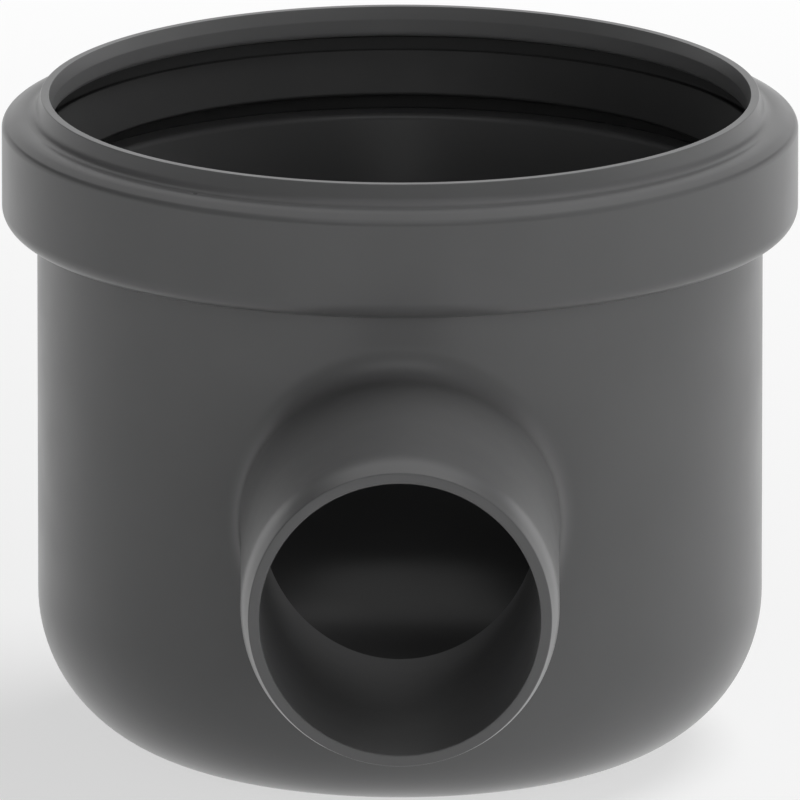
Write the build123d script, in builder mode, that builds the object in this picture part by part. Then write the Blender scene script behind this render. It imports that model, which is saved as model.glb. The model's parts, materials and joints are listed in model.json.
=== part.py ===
"""Push-fit gully trap body with its sealing ring, in millimetres.

The origin is the centre of the flat base, +Z is the axis of the bucket and the
socket, and the outlet spigot points along -Y.
"""

import os

from build123d import *

# Pipes that the trap joins
riser_pipe_diameter = 110.0
riser_clearance = 0.2
outlet_diameter = 50.0

# Bucket
wall = 2.5
base_corner_radius = 25.0

# Outlet spigot: chamfer, straight seat for the next pipe's socket, then a slight flare to the root
spigot_wall = 3.0
spigot_length = 54.3
spigot_chamfer_length = 4.75
spigot_chamfer_depth = 1.25
spigot_seat_length = 44.25
spigot_flare = 1.4
spigot_root_fillet = 4.8

# Collar around the seal groove
collar_gap = 10.2
collar_height = 16.15
collar_wall = 2.7
collar_rounding = 3.0
underside_fillet = 0.8

# Shoulder and lip above the collar
shoulder_height = 2.85
neck_fillet = 1.5
lip_height = 1.8
lip_wall = 1.9
rim_rounding = 0.4
lead_in_width = 0.6
lead_in_depth = 2.0

# Seal groove
groove_depth = 5.4
ledge_thickness = 3.1
roof_thickness = 2.15
roof_rise = 1.9
edge_rounding = 1.0

# Sealing ring: a foot against the groove's wall and a lip that slopes into the bore
seal_play = 0.3
seal_foot_width = 1.4
seal_foot_rounding = 0.3
seal_bite = 1.95
seal_tip_rise = 3.9
seal_tip_thickness = 1.25
seal_tip_rounding = 0.35
seal_brow_setback = 1.8
seal_brow_drop = 0.6
seal_brow_rounding = 0.5
seal_root_depth = 3.6
seal_root_fillet = 0.8

# Radii, from the pipe outwards
riser_pipe_radius = riser_pipe_diameter / 2
bore_radius = riser_pipe_radius + riser_clearance
mouth_radius = bore_radius + lead_in_width
body_radius = bore_radius + wall
lip_radius = bore_radius + lip_wall
groove_radius = bore_radius + groove_depth
collar_radius = groove_radius + collar_wall

# The spigot's stations along -Y, from the mouth inwards
spigot_radius = outlet_diameter / 2
mouth_y = -body_radius - spigot_length
seat_start_y = mouth_y + spigot_chamfer_length
seat_end_y = seat_start_y + spigot_seat_length

# Heights, from the base upwards: the spigot starts where the rounded base corner ends
spigot_height = base_corner_radius + spigot_radius
collar_bottom = spigot_height + spigot_radius + collar_gap
shoulder_bottom = collar_bottom + collar_height
shoulder_top = shoulder_bottom + shoulder_height
height = shoulder_top + lip_height
groove_bottom = collar_bottom + ledge_thickness
groove_top = shoulder_bottom - roof_thickness
lip_bottom = groove_top + roof_rise

os.makedirs("parts", exist_ok=True)

with BuildPart() as gully_body:
    # Outside of the bucket, collar, shoulder and lip
    with BuildSketch(Plane.XZ):
        with BuildLine():
            FilletPolyline(
                (0, 0),
                (body_radius, 0),
                (body_radius, collar_bottom),
                (collar_radius, collar_bottom),
                (collar_radius, shoulder_bottom),
                (lip_radius, shoulder_top),
                (lip_radius, height),
                (0, height),
                radius=[
                    0,
                    base_corner_radius,
                    underside_fillet,
                    collar_rounding,
                    0,
                    neck_fillet,
                    rim_rounding,
                    0,
                ],
                close=True,
            )
        make_face()
    revolve(axis=Axis.Z)

    # Spigot, still solid, from its chamfered mouth to the bucket's axis, with a soft fillet at its root
    with BuildSketch(Plane.YZ):
        with BuildLine():
            Polyline(
                (mouth_y, spigot_height),
                (mouth_y, spigot_height + spigot_radius - spigot_chamfer_depth),
                (seat_start_y, spigot_height + spigot_radius),
                (seat_end_y, spigot_height + spigot_radius),
                (0, spigot_height + spigot_radius + spigot_flare),
                (0, spigot_height),
                close=True,
            )
        make_face()
    revolve(axis=Axis((0, 0, spigot_height), (0, 1, 0)))
    root_edges = gully_body.edges(Select.NEW).filter_by_position(Axis.Y, -body_radius, 0)
    fillet(root_edges, spigot_root_fillet)

    # Inside of the bucket, the seal groove and the lead-in of the lip
    with BuildSketch(Plane.XZ):
        with BuildLine():
            FilletPolyline(
                (0, wall),
                (bore_radius, wall),
                (bore_radius, groove_bottom),
                (groove_radius, groove_bottom),
                (groove_radius, groove_top),
                (bore_radius, lip_bottom),
                (bore_radius, height - lead_in_depth),
                (mouth_radius, height),
                (0, height),
                radius=[0, base_corner_radius - wall, edge_rounding, 0, 0, edge_rounding, 0, 0, 0],
                close=True,
            )
        make_face()
    revolve(axis=Axis.Z, mode=Mode.SUBTRACT)

    # Bore of the spigot, from its mouth through the bucket's wall
    with BuildSketch(Plane.XZ.offset(-mouth_y)):
        with Locations((0, spigot_height)):
            Circle(spigot_radius - spigot_wall)
    extrude(amount=mouth_y, mode=Mode.SUBTRACT)

gully_body.part.label = "gully_body"
export_step(gully_body.part, "parts/gully_body.step")

# Section of the ring: it stands on the groove's ledge and ends just under its sloping roof
foot_outside = groove_radius - seal_play
foot_inside = foot_outside - seal_foot_width
foot_top = groove_top - seal_play
brow = Vector(bore_radius + seal_brow_setback, groove_top - seal_brow_drop)
tip = Vector(riser_pipe_radius - seal_bite, groove_bottom + seal_tip_rise)
across_the_lip = (brow - tip).normalized().rotate(Axis.Z, -90)
tip_underside = tip + across_the_lip * seal_tip_thickness

with BuildPart() as seal_ring:
    with BuildSketch(Plane.XZ):
        with BuildLine():
            FilletPolyline(
                (foot_inside, groove_bottom),
                (foot_outside, groove_bottom),
                (foot_outside, foot_top),
                brow,
                tip,
                tip_underside,
                (foot_inside, brow.Y - seal_root_depth),
                radius=[
                    seal_foot_rounding,
                    seal_foot_rounding,
                    seal_foot_rounding,
                    seal_brow_rounding,
                    seal_tip_rounding,
                    seal_tip_rounding,
                    seal_root_fillet,
                ],
                close=True,
            )
        make_face()
    revolve(axis=Axis.Z)

seal_ring.part.label = "seal_ring"
export_step(seal_ring.part, "parts/seal_ring.step")
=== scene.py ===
"""Looks of the push-fit gully trap body and its sealing ring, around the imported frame.

Lengths are in millimetres until they become mesh points, which are in metres.
"""

import json
import math

import bmesh
import bpy
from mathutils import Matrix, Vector


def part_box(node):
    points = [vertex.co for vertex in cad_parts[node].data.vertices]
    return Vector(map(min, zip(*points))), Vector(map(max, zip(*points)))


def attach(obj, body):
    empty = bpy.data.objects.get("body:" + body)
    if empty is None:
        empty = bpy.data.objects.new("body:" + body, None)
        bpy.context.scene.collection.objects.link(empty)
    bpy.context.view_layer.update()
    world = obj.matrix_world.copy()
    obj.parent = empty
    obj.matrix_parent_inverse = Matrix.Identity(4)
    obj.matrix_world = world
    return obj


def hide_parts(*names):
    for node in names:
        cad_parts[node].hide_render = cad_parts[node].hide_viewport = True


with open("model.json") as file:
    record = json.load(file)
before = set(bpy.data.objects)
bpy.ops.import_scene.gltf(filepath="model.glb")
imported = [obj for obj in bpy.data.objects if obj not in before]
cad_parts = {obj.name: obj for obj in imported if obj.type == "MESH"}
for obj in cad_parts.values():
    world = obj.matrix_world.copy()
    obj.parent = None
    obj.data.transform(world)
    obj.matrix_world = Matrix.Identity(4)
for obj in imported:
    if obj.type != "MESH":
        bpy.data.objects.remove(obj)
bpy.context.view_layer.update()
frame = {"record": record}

# Gully body
# One injection moulding of dark grey polypropylene: bucket, collar around the seal groove, lip and
# outlet spigot leave the mould together, so there is no seam. It stands on its flat base.
MM = 0.001
TURN = 2 * math.pi

mounts = {mount["name"]: mount for mount in frame["record"]["mounts"]}
spigot = mounts["outlet_spigot"]
lowest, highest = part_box("gully_body")

height = highest.z / MM
collar_radius = highest.x / MM
mouth_y = lowest.y / MM
bore_radius = mounts["riser_socket"]["dims"]["r_mm"]
spigot_radius = spigot["dims"]["r_mm"]
spigot_height = spigot["pos_m"][2] / MM
seat_start_y = spigot["pos_m"][1] / MM - spigot["dims"]["length_mm"] / 2
seat_end_y = seat_start_y + spigot["dims"]["length_mm"]

wall = 2.5
body_radius = bore_radius + wall
corner_rounding = spigot_height - spigot_radius
inner_corner_rounding = corner_rounding - wall

collar_bottom = 85.2
collar_rounding = 3.0
underside_fillet = 0.8
shoulder_bottom = 101.35
shoulder_edge = 1.2
shoulder_crown_level = 102.7
shoulder_crown_rounding = 5.0
neck_level = 102.8
neck_fillet = 1.8
lip_radius = bore_radius + 1.9
neck_radius = lip_radius + 1.0
shoulder_crown_radius = neck_radius + 2.6
mouth_radius = bore_radius + 0.6
lead_in_height = 104.0
rim_rounding = 0.2
rim_inner_rounding = 0.12
lead_in_rounding = 1.0

groove_radius = bore_radius + 5.4
groove_bottom = 88.3
groove_top = 101.0
groove_corner = 0.4
lip_bottom = 101.1
edge_rounding = 1.0

spigot_bore_radius = spigot_radius - 3.0
spigot_mouth_radius = spigot_radius - 1.25
spigot_flare = 1.4
spigot_root_fillet = 4.8
spigot_edge_rounding = 0.25
chamfer_rounding = 24.0

segments = 240
wall_steps = 48
corner_steps = 30
window_corner_steps = 6
window_half_columns = 22
weld_distance = 0.001
sharp_angle = math.radians(30)
root_rounds = 8


def add_node(tree, kind, inputs=None, **settings):
    """Adds a node with its settings, and joins or sets its inputs."""
    node = tree.nodes.new(kind)
    for name, value in settings.items():
        setattr(node, name, value)
    for socket, source in (inputs or {}).items():
        if isinstance(source, bpy.types.NodeSocket):
            tree.links.new(source, node.inputs[socket])
        else:
            node.inputs[socket].default_value = source
    return node


def calculate(tree, operation, *values):
    """Joins or sets the values of a Math node. Returns its result."""
    return add_node(tree, "ShaderNodeMath", dict(enumerate(values)), operation=operation).outputs[0]


def calculate_whole(tree, operation, *values):
    """The same with whole numbers."""
    node = add_node(tree, "FunctionNodeIntegerMath", dict(enumerate(values)), operation=operation)
    return node.outputs[0]


def moulded_section(corners, closed=False):
    """Draws a section through its corners, each a radius, height, rounding, steps round it and steps on the
    way to it. Returns the points and, for each corner, its first and last point."""
    points = []
    spans = []
    for index, (radius, level, rounding, bend_steps, run_steps) in enumerate(corners):
        corner = Vector((radius, level))
        bend = [corner]
        if rounding:
            back = (Vector(corners[index - 1][:2]) - corner).normalized()
            onward = (Vector(corners[(index + 1) % len(corners)][:2]) - corner).normalized()
            half_angle = back.angle(onward) / 2
            centre = corner + (back + onward).normalized() * rounding / math.sin(half_angle)
            reach = rounding / math.tan(half_angle)
            first = corner + back * reach - centre
            last = corner + onward * reach - centre
            turns = [first.slerp(last, step / bend_steps) for step in range(bend_steps + 1)]
            bend = [centre + rounding * turn for turn in turns]
        if points:
            start = points[-1]
            points += [start.lerp(bend[0], step / run_steps) for step in range(1, run_steps)]
        spans.append((len(points), len(points) + len(bend) - 1))
        points += bend
    if closed:
        run_steps = corners[0][4]
        points += [points[-1].lerp(points[0], step / run_steps) for step in range(1, run_steps + 1)]
    return points, spans


def lathe_tree():
    """Builds the tree that turns a section, a line of points in the XZ plane, once about the Z axis."""
    tree = bpy.data.node_groups.new("Lathe", "GeometryNodeTree")
    tree.interface.new_socket("Section", in_out="INPUT", socket_type="NodeSocketGeometry")
    tree.interface.new_socket("Segments", in_out="INPUT", socket_type="NodeSocketInt")
    tree.interface.new_socket("Weld Distance", in_out="INPUT", socket_type="NodeSocketFloat")
    tree.interface.new_socket("Material", in_out="INPUT", socket_type="NodeSocketMaterial")
    tree.interface.new_socket("Geometry", in_out="OUTPUT", socket_type="NodeSocketGeometry")
    given = add_node(tree, "NodeGroupInput").outputs

    size = add_node(tree, "GeometryNodeAttributeDomainSize", {"Geometry": given["Section"]},
                    component="MESH")
    columns = calculate_whole(tree, "ADD", given["Segments"], 1)
    grid = add_node(tree, "GeometryNodeMeshGrid",
                    {"Vertices X": size.outputs["Point Count"], "Vertices Y": columns}).outputs["Mesh"]
    index = add_node(tree, "GeometryNodeInputIndex").outputs[0]
    row = calculate_whole(tree, "DIVIDE_FLOOR", index, columns)
    column = calculate_whole(tree, "MODULO", index, columns)

    place = add_node(tree, "GeometryNodeInputPosition").outputs[0]
    point = add_node(tree, "GeometryNodeSampleIndex", {"Geometry": given["Section"], "Index": row},
                     data_type="FLOAT_VECTOR", domain="POINT")
    tree.links.new(place, point.inputs["Value"])
    on_section = add_node(tree, "ShaderNodeSeparateXYZ", {0: point.outputs[0]}).outputs

    share = calculate(tree, "DIVIDE", column, given["Segments"])
    angle = calculate(tree, "MULTIPLY_ADD", share, TURN, -math.pi)
    x = calculate(tree, "MULTIPLY", on_section["X"], calculate(tree, "SINE", angle))
    depth = calculate(tree, "MULTIPLY", on_section["X"], calculate(tree, "COSINE", angle))
    y = calculate(tree, "MULTIPLY", depth, -1.0)
    turned = add_node(tree, "ShaderNodeCombineXYZ", {"X": x, "Y": y, "Z": on_section["Z"]}).outputs[0]

    shape = add_node(tree, "GeometryNodeSetPosition", {"Geometry": grid, "Position": turned}).outputs[0]
    for name, value in (("row", row), ("column", column)):
        store = add_node(tree, "GeometryNodeStoreNamedAttribute", {"Geometry": shape, "Name": name},
                         data_type="INT", domain="POINT")
        tree.links.new(value, store.inputs["Value"])
        shape = store.outputs[0]
    shape = add_node(tree, "GeometryNodeMergeByDistance",
                     {"Geometry": shape, "Distance": given["Weld Distance"]}).outputs[0]
    shape = add_node(tree, "GeometryNodeRealizeInstances", {"Geometry": shape}).outputs[0]
    shape = add_node(tree, "GeometryNodeSetMaterial",
                     {"Geometry": shape, "Material": given["Material"]}).outputs[0]
    add_node(tree, "NodeGroupOutput", {"Geometry": shape})
    return tree


lathe = lathe_tree()
lathe_input = {item.name: item.identifier for item in lathe.interface.items_tree if item.in_out == "INPUT"}


def turned_piece(name, section, material):
    """Turns a section into a piece that has one finish and keeps each point's row and column."""
    mesh = bpy.data.meshes.new(name)
    places = [(point.x * MM, 0, point.y * MM) for point in section]
    mesh.from_pydata(places, [(index, index + 1) for index in range(len(places) - 1)], [])
    piece = bpy.data.objects.new(name, mesh)
    bpy.context.scene.collection.objects.link(piece)
    turning = piece.modifiers.new("Lathe", "NODES")
    turning.node_group = lathe
    turning[lathe_input["Segments"]] = segments
    turning[lathe_input["Weld Distance"]] = weld_distance * MM
    turning[lathe_input["Material"]] = material
    depsgraph = bpy.context.evaluated_depsgraph_get()
    piece.data = bpy.data.meshes.new_from_object(
        piece.evaluated_get(depsgraph), preserve_all_data_layers=True, depsgraph=depsgraph)
    piece.modifiers.clear()
    return piece


def finish_surface(piece, shape):
    """Writes the shape back to its piece, with faces that point outwards and smooth shading between its
    sharp edges."""
    bmesh.ops.recalc_face_normals(shape, faces=shape.faces)
    material = piece.data.materials[-1]
    piece.data.materials.clear()
    piece.data.materials.append(material)
    for face in shape.faces:
        face.material_index = 0
    for name in ("row", "column"):
        shape.verts.layers.int.remove(shape.verts.layers.int[name])
    shape.to_mesh(piece.data)
    shape.free()
    piece.data.shade_smooth()
    piece.data.set_sharp_from_angle(angle=sharp_angle)
    evening = piece.modifiers.new("Even shading", "WEIGHTED_NORMAL")
    evening.keep_sharp = True


grain_detail = 3.0
grain_roughness = 0.6
cloud_detail = 4.0
cloud_roughness = 0.5
cloud_range = (0.15, 0.85)
dust_softness = 0.4


def moulded_grain_group():
    """Builds the shared surface of moulded parts: a fine grain for bump, and soft clouds for colour and
    gloss."""
    group = bpy.data.node_groups.new("Moulded grain", "ShaderNodeTree")
    group.interface.new_socket("Vector", in_out="INPUT", socket_type="NodeSocketVector")
    group.interface.new_socket("Grain Scale", in_out="INPUT", socket_type="NodeSocketFloat")
    group.interface.new_socket("Cloud Scale", in_out="INPUT", socket_type="NodeSocketFloat")
    group.interface.new_socket("Height", in_out="OUTPUT", socket_type="NodeSocketFloat")
    group.interface.new_socket("Clouds", in_out="OUTPUT", socket_type="NodeSocketFloat")
    given = add_node(group, "NodeGroupInput").outputs
    grain = add_node(group, "ShaderNodeTexNoise",
                     {"Vector": given["Vector"], "Scale": given["Grain Scale"],
                      "Detail": grain_detail, "Roughness": grain_roughness})
    clouds = add_node(group, "ShaderNodeTexNoise",
                      {"Vector": given["Vector"], "Scale": given["Cloud Scale"],
                       "Detail": cloud_detail, "Roughness": cloud_roughness})
    spread = add_node(group, "ShaderNodeMapRange",
                      {"Value": clouds.outputs["Fac"],
                       "From Min": cloud_range[0], "From Max": cloud_range[1]},
                      interpolation_type="SMOOTHSTEP")
    add_node(group, "NodeGroupOutput", {"Height": grain.outputs["Fac"], "Clouds": spread.outputs["Result"]})
    return group


moulded_grain = moulded_grain_group()


def moulded_material(name, dark, light, smooth, rough, grain_size, cloud_size, grain_height, gloss, dust):
    """A dull moulded finish: its colour and roughness drift with the clouds, a fine grain breaks the gloss,
    and a trace of dust brightens it where it is seen at a low angle."""
    material = bpy.data.materials.new(name)
    material.use_nodes = True
    tree = material.node_tree
    surface = tree.nodes["Principled BSDF"]
    surface.inputs["Specular IOR Level"].default_value = gloss
    surface.inputs["Sheen Weight"].default_value = dust
    surface.inputs["Sheen Roughness"].default_value = dust_softness
    where = add_node(tree, "ShaderNodeTexCoord").outputs["Object"]
    grain = add_node(tree, "ShaderNodeGroup", node_tree=moulded_grain)
    tree.links.new(where, grain.inputs["Vector"])
    grain.inputs["Grain Scale"].default_value = 1 / (grain_size * MM)
    grain.inputs["Cloud Scale"].default_value = 1 / (cloud_size * MM)
    clouds = grain.outputs["Clouds"]
    colour = add_node(tree, "ShaderNodeMix", {0: clouds, 6: (*dark, 1), 7: (*light, 1)}, data_type="RGBA")
    tree.links.new(colour.outputs[2], surface.inputs["Base Color"])
    roughness = add_node(tree, "ShaderNodeMapRange", {"Value": clouds, "To Min": rough, "To Max": smooth})
    tree.links.new(roughness.outputs["Result"], surface.inputs["Roughness"])
    bump = add_node(tree, "ShaderNodeBump",
                    {"Distance": grain_height * MM, "Height": grain.outputs["Height"]})
    tree.links.new(bump.outputs["Normal"], surface.inputs["Normal"])
    return material


polypropylene = moulded_material(
    "dark_grey_polypropylene", dark=(0.073, 0.073, 0.074), light=(0.077, 0.077, 0.078),
    smooth=0.27, rough=0.33, grain_size=0.35, cloud_size=14, grain_height=0.003, gloss=0.3, dust=0.04)

# Up the outside from the middle of the base, over the rim, and down the inside to the middle of the floor.
body_section, corner_rows = moulded_section([
    (0, 0, 0, 0, 0),
    (body_radius, 0, corner_rounding, corner_steps, 10),
    (body_radius, collar_bottom, underside_fillet, 6, wall_steps),
    (collar_radius, collar_bottom, collar_rounding, 16, 2),
    (collar_radius, shoulder_bottom, shoulder_edge, 8, 10),
    (shoulder_crown_radius, shoulder_crown_level, shoulder_crown_rounding, 8, 2),
    (neck_radius, neck_level, neck_fillet, 8, 2),
    (lip_radius, height, rim_rounding, 6, 1),
    (mouth_radius, height, rim_inner_rounding, 5, 1),
    (bore_radius, lead_in_height, lead_in_rounding, 3, 2),
    (bore_radius, lip_bottom, edge_rounding, 8, 2),
    (groove_radius, groove_top, groove_corner, 4, 4),
    (groove_radius, groove_bottom, groove_corner, 4, 8),
    (bore_radius, groove_bottom, edge_rounding, 8, 4),
    (bore_radius, wall, inner_corner_rounding, corner_steps, wall_steps),
    (0, wall, 0, 0, 8),
])
gully_body = turned_piece("moulded_body", body_section, polypropylene)


def on_bucket(angle, level, radius, rounding):
    """A point on the bucket at an angle from the front and a level above the spigot's axis, measured along
    the wall and on round the base corner."""
    below = -level - spigot_radius
    upright = spigot_height + level
    if below > 0:
        round_the_corner = below / rounding
        radius = radius - rounding + rounding * math.cos(round_the_corner)
        upright = corner_rounding - rounding * math.sin(round_the_corner)
    return Vector((radius * math.sin(angle), -radius * math.cos(angle), upright))


def window_edge(rows, rounding):
    """Goes once round the window that the spigot needs in the bucket's rows and columns of points. Returns
    each point's row and column, with its angle and level on the bucket."""
    front = segments // 2
    columns = range(front - window_half_columns, front + window_half_columns + 1)
    first, last = 0, len(rows) - 1
    round_trip = [(first, column) for column in columns[:-1]]
    round_trip += [(step, columns[-1]) for step in range(last)]
    round_trip += [(last, column) for column in reversed(columns[1:])]
    round_trip += [(step, columns[0]) for step in range(last, 0, -1)]
    edge = []
    for step, column in round_trip:
        angle = (column - front) * TURN / segments
        on_wall = step - window_corner_steps
        if on_wall < 0:
            level = -spigot_radius + on_wall * rounding * math.pi / 2 / corner_steps
        else:
            level = (body_section[rows[step]].y if on_wall else corner_rounding) - spigot_height
        edge.append((rows[step], column, angle, level))
    return edge


def flared_radius(y):
    """The spigot's outside radius: straight on its seat, and then a slight flare towards the bucket."""
    return spigot_radius + spigot_flare * max(0, y - seat_end_y) / -seat_end_y


def root_of_spigot(angle):
    """The ball that rolls round the spigot's root touches bucket and spigot. Returns its centre and both
    touching points for one angle round the spigot."""
    slope = math.atan(spigot_flare / -seat_end_y)
    ball = spigot_root_fillet
    y = -body_radius - ball
    # The flare depends on where the ball touches it, so the ball's place is found in a few rounds.
    for _ in range(root_rounds):
        reach = flared_radius(y + ball * math.sin(slope)) + ball * math.cos(slope)
        x = reach * math.cos(angle)
        z = spigot_height + reach * math.sin(angle)
        away = body_radius + ball
        if z < corner_rounding:
            drop = corner_rounding - z
            away = body_radius - corner_rounding + math.sqrt((corner_rounding + ball) ** 2 - drop ** 2)
        y = -math.sqrt(away ** 2 - x ** 2)
    centre = Vector((x, y, z))
    level_direction = Vector((x, y, 0)).normalized()
    if z < corner_rounding:
        ring_centre = level_direction * (body_radius - corner_rounding) + Vector((0, 0, corner_rounding))
        on_wall = ring_centre + (centre - ring_centre).normalized() * corner_rounding
    else:
        on_wall = level_direction * body_radius + Vector((0, 0, z))
    outward = Vector((math.cos(slope) * math.cos(angle), -math.sin(slope),
                      math.cos(slope) * math.sin(angle)))
    return centre, on_wall, centre - outward * ball


def unrolled(point, rounding):
    """The angle and level on the bucket of a point that lies on it."""
    angle = math.atan2(point.x, -point.y)
    drop = corner_rounding - point.z
    if drop > 0:
        return angle, -spigot_radius - rounding * math.asin(drop / rounding)
    return angle, point.z - spigot_height


def on_spigot(radius, angle, y):
    """A point round the spigot's own axis."""
    return Vector((radius * math.cos(angle), y, spigot_height + radius * math.sin(angle)))


outer_foot = corner_rows[1][1]
inner_foot = corner_rows[-2][0]
outer_rows = range(outer_foot - window_corner_steps, outer_foot + wall_steps + 1)
inner_rows = range(inner_foot + window_corner_steps, inner_foot - wall_steps - 1, -1)
outer_edge = window_edge(outer_rows, corner_rounding)
inner_edge = window_edge(inner_rows, inner_corner_rounding)

# From the window's edge the wall runs in to the fillet, along the spigot to its mouth, back through its
# bore and out over the bucket's inner wall. Each strand is one such line of points.
wall_rings = 7
fillet_rings = 9
spigot_rings = 26
bore_rings = 28
inner_wall_rings = 9
mouth_section, _ = moulded_section([
    (spigot_radius, -seat_end_y, 0, 0, 0),
    (spigot_radius, -seat_start_y, chamfer_rounding, 12, 1),
    (spigot_mouth_radius, -mouth_y, spigot_edge_rounding, 5, 3),
    (spigot_bore_radius, -mouth_y, spigot_edge_rounding, 5, 2),
    (spigot_bore_radius, 0, 0, 0, 1),
])
mouth_profile = mouth_section[1:-1]


def strand(outer, inner):
    """A line of points through the spigot's wall, from a point of the outer window to one of the inner."""
    outer_angle, outer_level = outer[2:]
    inner_angle, inner_level = inner[2:]
    around = math.atan2(outer_level, outer_angle * body_radius)
    around_inside = math.atan2(inner_level, inner_angle * bore_radius)
    around_inside = around + (around_inside - around + math.pi) % TURN - math.pi
    ball_centre, on_wall, on_tube = root_of_spigot(around)

    points = []
    touch_angle, touch_level = unrolled(on_wall, corner_rounding)
    for step in range(1, wall_rings):
        share = step / wall_rings
        angle = outer_angle + share * (touch_angle - outer_angle)
        level = outer_level + share * (touch_level - outer_level)
        points.append(on_bucket(angle, level, body_radius, corner_rounding))
    for step in range(fillet_rings + 1):
        share = step / fillet_rings
        outwards = (on_wall - ball_centre).slerp(on_tube - ball_centre, share)
        points.append(ball_centre + spigot_root_fillet * outwards)
    chamfer_y = -mouth_profile[0].y
    for step in range(1, spigot_rings):
        y = on_tube.y + step / spigot_rings * (chamfer_y - on_tube.y)
        points.append(on_spigot(flared_radius(y), around, y))
    points += [on_spigot(point.x, around, -point.y) for point in mouth_profile]
    mouth_inside_y = -mouth_profile[-1].y
    opening_x = spigot_bore_radius * math.cos(around_inside)
    opening_y = -math.sqrt(bore_radius ** 2 - opening_x ** 2)
    for step in range(1, bore_rings + 1):
        share = step / bore_rings
        y = mouth_inside_y + share * (opening_y - mouth_inside_y)
        points.append(on_spigot(spigot_bore_radius, around + share * (around_inside - around), y))
    opening_angle, opening_level = unrolled(points[-1], inner_corner_rounding)
    for step in range(1, inner_wall_rings):
        share = step / inner_wall_rings
        angle = opening_angle + share * (inner_angle - opening_angle)
        level = opening_level + share * (inner_level - opening_level)
        points.append(on_bucket(angle, level, bore_radius, inner_corner_rounding))
    return points


shape = bmesh.new()
shape.from_mesh(gully_body.data)
row_of = shape.verts.layers.int["row"]
column_of = shape.verts.layers.int["column"]
place_of = {(vert[row_of], vert[column_of]): vert for vert in shape.verts}
rims = []
for rows, edge in ((outer_rows, outer_edge), (inner_rows, inner_edge)):
    rims.append([place_of[row, column] for row, column, _, _ in edge])
    columns = sorted({column for _, column, _, _ in edge})[1:-1]
    inside = [place_of[row, column] for row in rows[1:-1] for column in columns]
    bmesh.ops.delete(shape, geom=inside, context="VERTS")
strands = []
for outer, inner, first, last in zip(outer_edge, inner_edge, *rims):
    between = [shape.verts.new(point * MM) for point in strand(outer, inner)]
    strands.append([first, *between, last])
for left, right in zip(strands, strands[1:] + strands[:1]):
    for corners in zip(left, right, right[1:], left[1:]):
        shape.faces.new(corners)
finish_surface(gully_body, shape)
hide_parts("gully_body")
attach(gully_body, "root")

# Sealing ring
# A ring of black rubber that sits with its foot on the ledge of the seal groove. Its lip slopes down and
# in, and folds back when a pipe is pushed through. It is moulded in one piece and pressed in by hand.
seal_play = 0.3
seal_foot_outside = groove_radius - seal_play
seal_foot_inside = seal_foot_outside - 1.4
seal_foot_top = 100.3
seal_foot_rounding = 0.3
seal_valley = Vector((seal_foot_inside - 0.2, 97.8))
seal_valley_fillet = 0.4
seal_brow = Vector((bore_radius + 1.8, 98.7))
seal_brow_rounding = 0.4
seal_tip = Vector((bore_radius - 2.15, groove_bottom + 3.9))
seal_tip_thickness = 1.25
seal_tip_rounding = 0.35
seal_root_level = seal_brow.y - 3.6
seal_root_fillet = 0.8

along_the_lip = (seal_brow - seal_tip).normalized()
seal_tip_underside = seal_tip + Vector((along_the_lip.y, -along_the_lip.x)) * seal_tip_thickness

black_rubber = moulded_material(
    "black_rubber", dark=(0.024, 0.024, 0.0242), light=(0.027, 0.027, 0.0272),
    smooth=0.45, rough=0.5, grain_size=0.2, cloud_size=6, grain_height=0.004, gloss=0.2, dust=0.0)

seal_section, _ = moulded_section([
    (seal_foot_inside, groove_bottom, seal_foot_rounding, 4, 4),
    (seal_foot_outside, groove_bottom, seal_foot_rounding, 4, 2),
    (seal_foot_outside, seal_foot_top, seal_foot_rounding, 4, 6),
    (seal_foot_inside, seal_foot_top, seal_foot_rounding, 4, 1),
    (*seal_valley, seal_valley_fillet, 4, 2),
    (*seal_brow, seal_brow_rounding, 6, 3),
    (*seal_tip, seal_tip_rounding, 6, 8),
    (*seal_tip_underside, seal_tip_rounding, 5, 1),
    (seal_foot_inside, seal_root_level, seal_root_fillet, 6, 4),
], closed=True)
seal_ring = turned_piece("sealing_ring", seal_section, black_rubber)
shape = bmesh.new()
shape.from_mesh(seal_ring.data)
finish_surface(seal_ring, shape)
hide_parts("seal_ring")
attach(seal_ring, "root")

# Floor
# A plain white studio table. It keeps a soft shadow around the foot of the object, and it looks white in
# the object's gloss.
floor_size = 8.0
floor_colour = (0.92, 0.92, 0.92, 1)
white_light = (1, 1, 1, 1)
fade_start = 0.12
fade_end = 0.6
near_share = 0.6

floor_mesh = bpy.data.meshes.new("studio_floor")
reach = floor_size / 2
floor_mesh.from_pydata([(-reach, -reach, 0), (reach, -reach, 0), (reach, reach, 0), (-reach, reach, 0)],
                       [], [(0, 1, 2, 3)])
floor = bpy.data.objects.new("studio_floor", floor_mesh)
bpy.context.scene.collection.objects.link(floor)


def larger_of(tree, first, second):
    """The larger of two values."""
    return calculate(tree, "MAXIMUM", first, second)


def ramp(tree, value, limits, ends):
    """Goes smoothly from one end to the other while a value crosses its limits."""
    span = {"Value": value, "From Min": limits[0], "From Max": limits[1],
            "To Min": ends[0], "To Max": ends[1]}
    return add_node(tree, "ShaderNodeMapRange", span, interpolation_type="SMOOTHSTEP").outputs["Result"]


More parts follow.
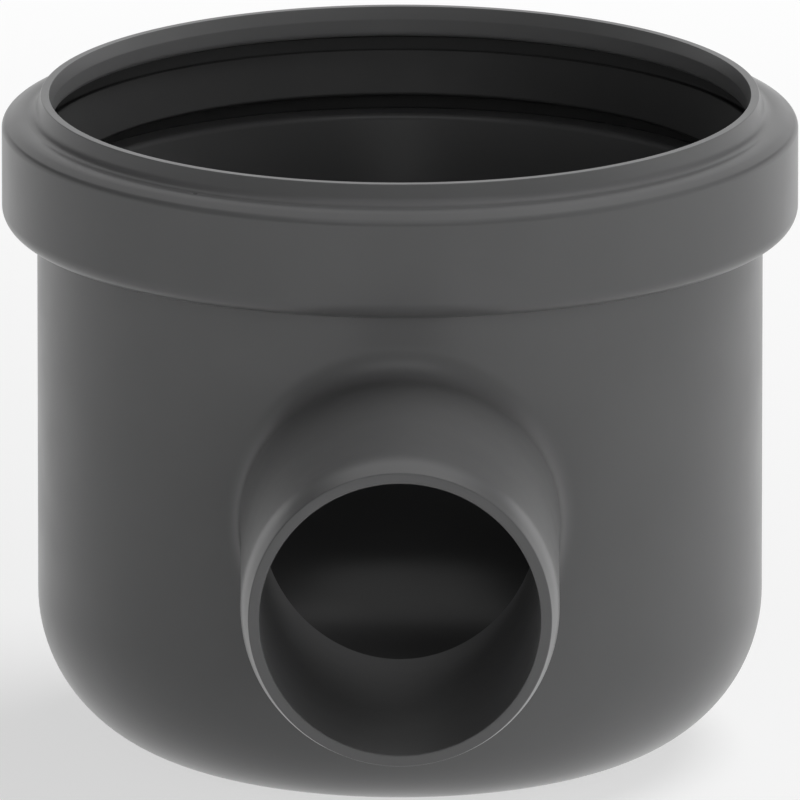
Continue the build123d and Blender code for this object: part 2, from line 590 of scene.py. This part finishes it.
white = bpy.data.materials.new("studio_white")
white.use_nodes = True
tree = white.node_tree
tree.nodes.clear()
matte = add_node(tree, "ShaderNodeBsdfDiffuse", {"Color": floor_colour})
glow = add_node(tree, "ShaderNodeEmission", {"Color": white_light, "Strength": 1.0})
where = add_node(tree, "ShaderNodeTexCoord").outputs["Object"]
distance = add_node(tree, "ShaderNodeVectorMath", {0: where}, operation="LENGTH").outputs["Value"]
fade = ramp(tree, distance, (fade_start, fade_end), (near_share, 1.0))
ray = add_node(tree, "ShaderNodeLightPath").outputs
seen = calculate(tree, "MULTIPLY", fade, ray["Is Camera Ray"])
share = larger_of(tree, seen, larger_of(tree, ray["Is Glossy Ray"], ray["Is Transmission Ray"]))
mix = add_node(tree, "ShaderNodeMixShader", {0: share, 1: matte.outputs[0], 2: glow.outputs[0]})
add_node(tree, "ShaderNodeOutputMaterial", {"Surface": mix.outputs[0]})
floor_mesh.materials.append(white)

# Studio light
# A wide soft screen goes from the right round to the front, brightest near the floor, so the inside of the
# object stays dark. A soft lamp hangs up behind it on the right, for the spigot's top and the rim. Gloss
# sees a white room that is dim low at the front and higher up at both sides.
right_screen = 4.1
front_screen = 4.0
left_screen = 0.6
upward_fade = 3.0
dim_gloss = 0.1
low_front_sides = (-0.6, -0.1)
low_front_top = (0.5, 0.75)
high_sides_edge = (0.3, 0.5)
high_sides_foot = (0.15, 0.35)
lamp_azimuth = math.radians(120)
lamp_elevation = math.radians(60)
lamp_distance = 1.0
lamp_size = 0.7
lamp_power = 7.0


def mixed(tree, share, first, second):
    """Goes from the first value to the second as the share goes from 0 to 1."""
    return add_node(tree, "ShaderNodeMix", {0: share, 2: first, 3: second}, data_type="FLOAT").outputs[0]


world = bpy.data.worlds.new("studio")
world.use_nodes = True
tree = world.node_tree
tree.nodes.clear()
direction = add_node(tree, "ShaderNodeTexCoord").outputs["Generated"]
towards = add_node(tree, "ShaderNodeSeparateXYZ", {0: direction}).outputs
from_right = calculate(tree, "MULTIPLY", towards["X"], right_screen)
from_left = calculate(tree, "MULTIPLY", towards["X"], -left_screen)
from_front = calculate(tree, "MULTIPLY", towards["Y"], -front_screen)
side_screens = larger_of(tree, from_right, from_left)
screens = calculate(tree, "ADD", side_screens, larger_of(tree, from_front, 0.0))
lowness = calculate(tree, "SUBTRACT", 1.0, larger_of(tree, towards["Z"], 0.0))
lit = calculate(tree, "MULTIPLY", screens, calculate(tree, "POWER", lowness, upward_fade))
ray = add_node(tree, "ShaderNodeLightPath").outputs
mirrored = larger_of(tree, ray["Is Glossy Ray"], ray["Is Transmission Ray"])
seen = larger_of(tree, ray["Is Camera Ray"], mirrored)
sideways = calculate(tree, "ABSOLUTE", towards["X"])
low_front = larger_of(tree, ramp(tree, towards["Y"], low_front_sides, (dim_gloss, 1.0)),
                      ramp(tree, towards["Z"], low_front_top, (dim_gloss, 1.0)))
high_sides = larger_of(tree, ramp(tree, sideways, high_sides_edge, (1.0, dim_gloss)),
                       ramp(tree, towards["Z"], high_sides_foot, (1.0, dim_gloss)))
in_gloss = calculate(tree, "MINIMUM", low_front, high_sides)
shown = mixed(tree, ray["Is Glossy Ray"], 1.0, in_gloss)
strength = mixed(tree, seen, lit, shown)
room = add_node(tree, "ShaderNodeBackground", {"Color": white_light, "Strength": strength})
add_node(tree, "ShaderNodeOutputWorld", {"Surface": room.outputs[0]})
bpy.context.scene.world = world

lamp_direction = Vector((math.sin(lamp_azimuth) * math.cos(lamp_elevation),
                         -math.cos(lamp_azimuth) * math.cos(lamp_elevation), math.sin(lamp_elevation)))
light = bpy.data.lights.new("soft_lamp", "AREA")
light.shape = "DISK"
light.size = lamp_size
light.energy = lamp_power
lamp = bpy.data.objects.new("soft_lamp", light)
lamp.location = lamp_direction * lamp_distance
lamp.rotation_euler = lamp_direction.to_track_quat("Z", "Y").to_euler()
lamp.visible_camera = False
lamp.visible_glossy = False
bpy.context.scene.collection.objects.link(lamp)

# Camera
# A long lens from far off keeps the lines almost parallel, as in the photograph. It looks down on the mouth
# by 15 degrees.
frame_width = 127.4 * MM
half_angle = 0.0110
look_down = math.radians(15)
look_at = Vector((0, 0, 55.6 * MM))

lens = bpy.data.cameras.new("camera")
lens.lens = lens.sensor_width / 2 / math.tan(half_angle)
camera = bpy.data.objects.new("camera", lens)
away = frame_width / 2 / math.tan(half_angle)
camera.location = look_at + away * Vector((0, -math.cos(look_down), math.sin(look_down)))
camera.rotation_euler = (math.pi / 2 - look_down, 0, 0)
lens.clip_end = 2 * away
bpy.context.scene.collection.objects.link(camera)
bpy.context.scene.camera = camera
bpy.context.scene.view_settings.view_transform = "Standard"
